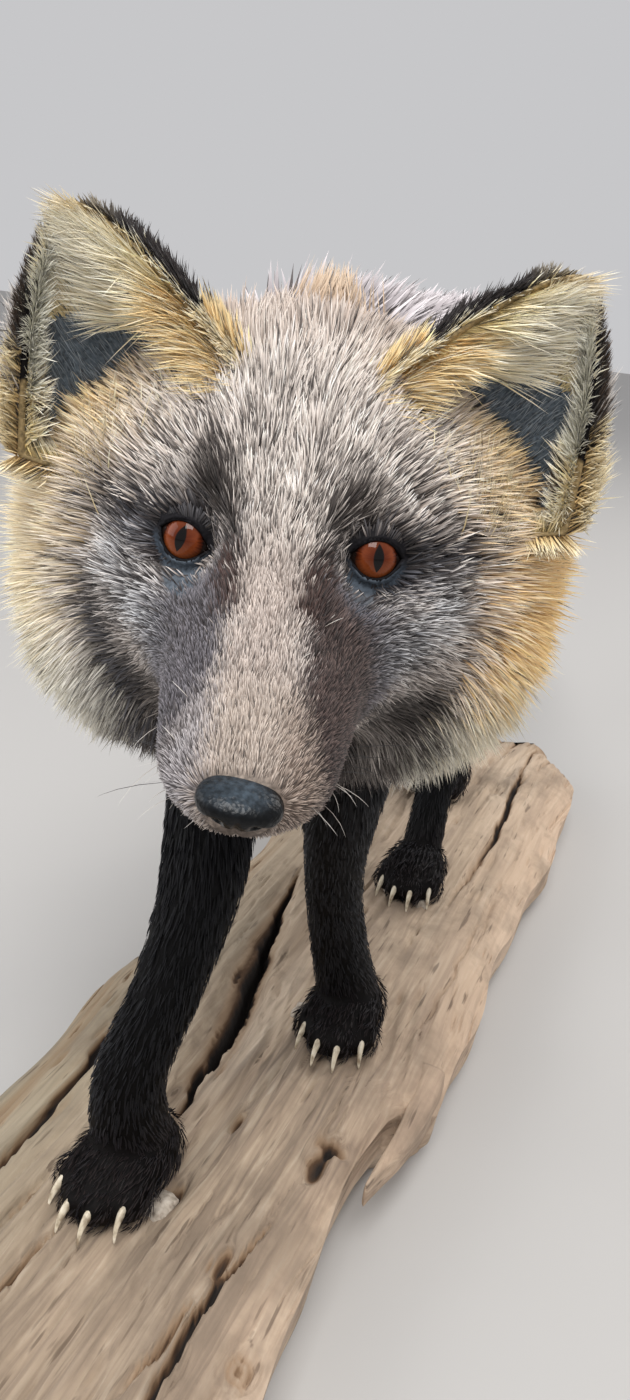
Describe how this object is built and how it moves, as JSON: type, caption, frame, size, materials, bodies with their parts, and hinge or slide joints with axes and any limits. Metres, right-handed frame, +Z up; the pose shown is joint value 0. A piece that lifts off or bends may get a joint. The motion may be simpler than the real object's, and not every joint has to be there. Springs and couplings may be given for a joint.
{
  "type": "taxidermy cross fox on a driftwood slab",
  "caption": "Life-size mounted red fox of the dark cross form, stalking with its head low along a weathered driftwood slab, as a still display model.",
  "frame": {"origin": "on the flat underside of the driftwood slab, under the fox's midline and halfway along the slab", "axes": "+Z up, nose towards -Y and tail towards +Y, the fox's left side towards +X"},
  "size_m": [0.2094, 1.033, 0.409],
  "materials": {
    "face_fur": "short frosted fur, cream and white tips over dark brown roots",
    "ruff_fur": "long soft cream and gold fur",
    "ear_fur": "black-brown velvet backs with cream hair inside",
    "body_fur": "dense grey fur frosted with silver tips",
    "tail_fur": "long bushy dark grey-brown fur",
    "tail_tip_fur": "long white fur",
    "leg_fur": "short glossy black fur",
    "glass_eye": "polished orange-brown glass with a black slit pupil",
    "nose": "black pebbled leather, slightly glossy",
    "claw_horn": "ivory horn",
    "driftwood": "weathered grey-tan wood with open grain and cracks",
    "filler": "matt pale modelling putty"
  },
  "bodies": {
    "root": {"muzzle": "face_fur", "face": "face_fur", "ruff": "ruff_fur", "ear_right": "ear_fur", "ear_left": "ear_fur", "eye_right": "glass_eye", "eye_left": "glass_eye", "nose_leather": "nose", "neck": "body_fur", "chest": "body_fur", "belly": "body_fur", "rump": "body_fur", "tail_root": "tail_fur", "tail_brush": "tail_fur", "tail_tip": "tail_tip_fur", "front_right_upper_leg": "leg_fur", "front_right_lower_leg": "leg_fur", "front_right_paw": "leg_fur", "front_left_upper_leg": "leg_fur", "front_left_lower_leg": "leg_fur", "front_left_paw": "leg_fur", "hind_right_upper_leg": "leg_fur", "hind_right_lower_leg": "leg_fur", "hind_right_paw": "leg_fur", "hind_left_upper_leg": "leg_fur", "hind_left_lower_leg": "leg_fur", "hind_left_paw": "leg_fur", "driftwood_slab": "driftwood"}
  },
  "joints": []
}
